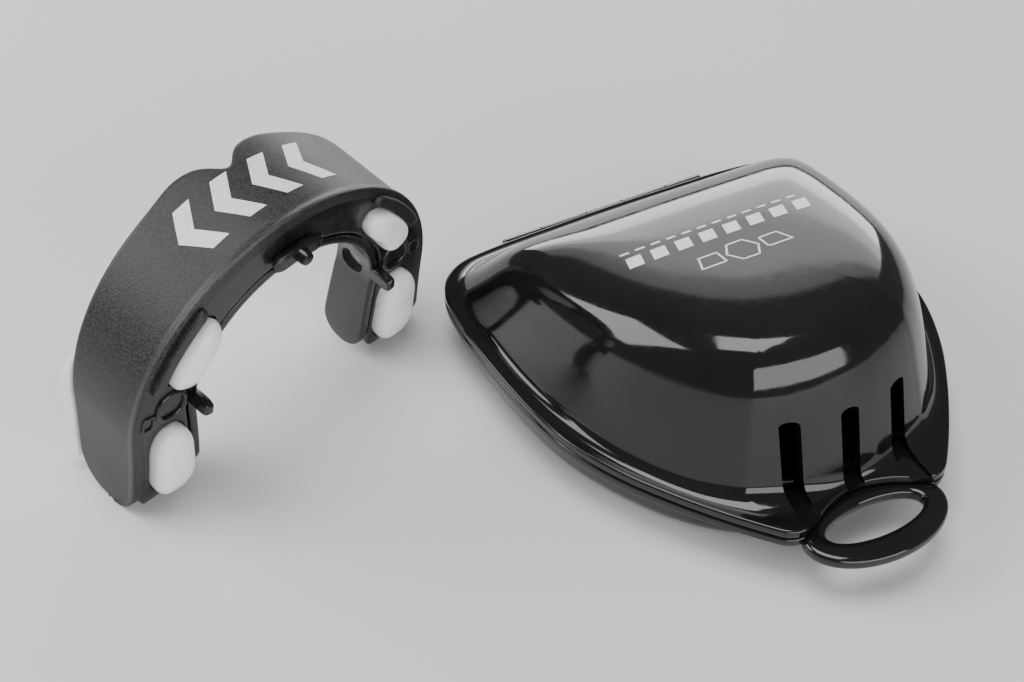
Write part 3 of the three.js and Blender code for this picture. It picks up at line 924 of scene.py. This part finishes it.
def pale_floor():
    material, nodes, links, shader = new_material("pale_floor")
    tone = noise(nodes, links, 6, 2)
    colour = two_tones(nodes, links, tone.outputs["Fac"], (0.66, 0.66, 0.67), (0.70, 0.70, 0.71))
    links.new(colour, shader.inputs["Base Color"])
    shader.inputs["Roughness"].default_value = 0.55
    return material


# ---- Put together ----

def build_case():
    """Both shells with their knuckles, the loop and the emblem. The pin stays the CAD's, in steel."""
    black = polished_black()
    lid = hinge_room(lid_shell(), BASE_KNUCKLES)
    base = hinge_room(base_shell(), LID_KNUCKLES)
    finish_piece(lid, black, "lid", ["case_lid"])
    finish_piece(base, black, "case", ["case_base"])
    finish_piece(hang_loop(), black, "case")
    base_barrels = knuckles("base_knuckles", BASE_KNUCKLES, BASE_RIM_FOOT, BASE_TOP)
    lid_barrels = knuckles("lid_knuckles", LID_KNUCKLES, LID_FOOT, LID_FOOT + LID_STRAP_THICK)
    finish_piece(base_barrels, black, "case")
    finish_piece(lid_barrels, black, "lid")
    emblem = lid_emblem(surface_of(lid))
    finish_piece(emblem, pale_ink("emblem_ink", (0.66, 0.66, 0.66), (0.8, 0.8, 0.8)), "lid")
    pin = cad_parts["hinge_pin"]
    pin.data.materials.clear()
    pin.data.materials.append(drawn_steel())


def build_guard():
    """The band, bite plane, inner frame, bridge, rims, liner, gel pads and printed arrowheads."""
    grain, satin, gel = grained_black(), satin_black(), milky_gel()
    band = finish_piece(guard_band(), grain, "mouthguard", ["guard_shell"])
    finish_piece(bite_shelf(), satin, "mouthguard")
    finish_piece(inner_frame(), satin, "mouthguard", ["guard_inner_frame"])
    finish_piece(breathing_bridge(), satin, "mouthguard", ["guard_bridge"])
    for rim in shelf_rims():
        finish_piece(rim, satin, "mouthguard")
    for span, name in zip(both_sides([STRIP_SPAN]), ("edge_strip_right", "edge_strip_left")):
        finish_piece(edge_strip(name, span), grain, "mouthguard")
    finish_piece(gel_liner(), gel, "mouthguard", ["guard_gel_liner"])
    names = ("front_right", "front_left", "rear_right", "rear_left")
    for span, name in zip(both_sides(PAD_SPANS), names):
        pad = pad_body(f"gel_pad_{name}", span)
        finish_piece(pad, gel, "mouthguard", [f"bite_pad_{name}"])
    printed = band_marks(surface_of(band))
    finish_piece(printed, pale_ink("band_ink", (0.68, 0.68, 0.68), (0.82, 0.82, 0.82)), "mouthguard")


def floor():
    """A wide pale floor under everything."""
    bm = bmesh.new()
    bmesh.ops.create_grid(bm, x_segments=8, y_segments=8, size=3.0)
    mesh = bpy.data.meshes.new("floor")
    bm.to_mesh(mesh)
    bm.free()
    mesh.materials.append(pale_floor())
    add_object("floor", mesh)


def softbox(name, place, target, wide, tall, power):
    """A rectangular studio light that faces a target."""
    data = bpy.data.lights.new(name, "AREA")
    data.shape = "RECTANGLE"
    data.size = wide
    data.size_y = tall
    data.energy = power
    light = bpy.data.objects.new(name, data)
    light.location = place
    light.rotation_mode = "QUATERNION"
    light.rotation_quaternion = (Vector(target) - Vector(place)).to_track_quat("-Z", "Y")
    bpy.context.scene.collection.objects.link(light)


def studio():
    """Soft light from the left, the front, the back and above, and a dim even sky.

    The box at the back is four overlapping boxes, each taller than the last, so that its mirror
    image on the roof fades towards the front.
    """
    world = bpy.data.worlds.new("studio")
    world.use_nodes = True
    background = world.node_tree.nodes["Background"]
    background.inputs["Color"].default_value = (0.8, 0.82, 0.85, 1)
    background.inputs["Strength"].default_value = 0.2
    bpy.context.scene.world = world
    middle = Vector((-0.02, 0.0, 0.01))
    softbox("left_box", middle + Vector((-0.43, 0.3, 0.34)), middle, 0.42, 0.36, 3.0)
    softbox("front_box", middle + Vector((0.03, -0.66, 0.28)), middle, 0.75, 0.42, 4.6)
    for step in range(4):
        place = middle + Vector((0.42 + 0.02 * step, 0.8 + 0.04 * step, 0.14 + 0.05 * step))
        softbox(f"back_box_{step}", place, middle, 0.9 + 0.06 * step, 0.16 + 0.11 * step, 1.5)
    softbox("top_box", middle + Vector((-0.1, 0.1, 1.1)), middle, 0.6, 0.6, 8.0)


def camera():
    """The photograph's view, from above and from the left of the hang loop."""
    back = Vector((
        math.sin(VIEW_AZIMUTH) * math.cos(VIEW_ELEVATION),
        -math.cos(VIEW_AZIMUTH) * math.cos(VIEW_ELEVATION),
        math.sin(VIEW_ELEVATION),
    ))
    right = Vector((math.cos(VIEW_AZIMUTH), math.sin(VIEW_AZIMUTH), 0))
    up = back.cross(right)
    data = bpy.data.cameras.new("camera")
    data.sensor_width = 36
    data.lens = VIEW_LENS
    data.clip_start = 0.01
    cam = bpy.data.objects.new("camera", data)
    target = VIEW_TARGET - right * VIEW_SHIFT.x - up * VIEW_SHIFT.y
    cam.location = (target + back * VIEW_DISTANCE) * MM
    cam.rotation_mode = "QUATERNION"
    cam.rotation_quaternion = (-back).to_track_quat("-Z", "Y")
    bpy.context.scene.collection.objects.link(cam)
    bpy.context.scene.camera = cam


build_case()
build_guard()
floor()
studio()
camera()
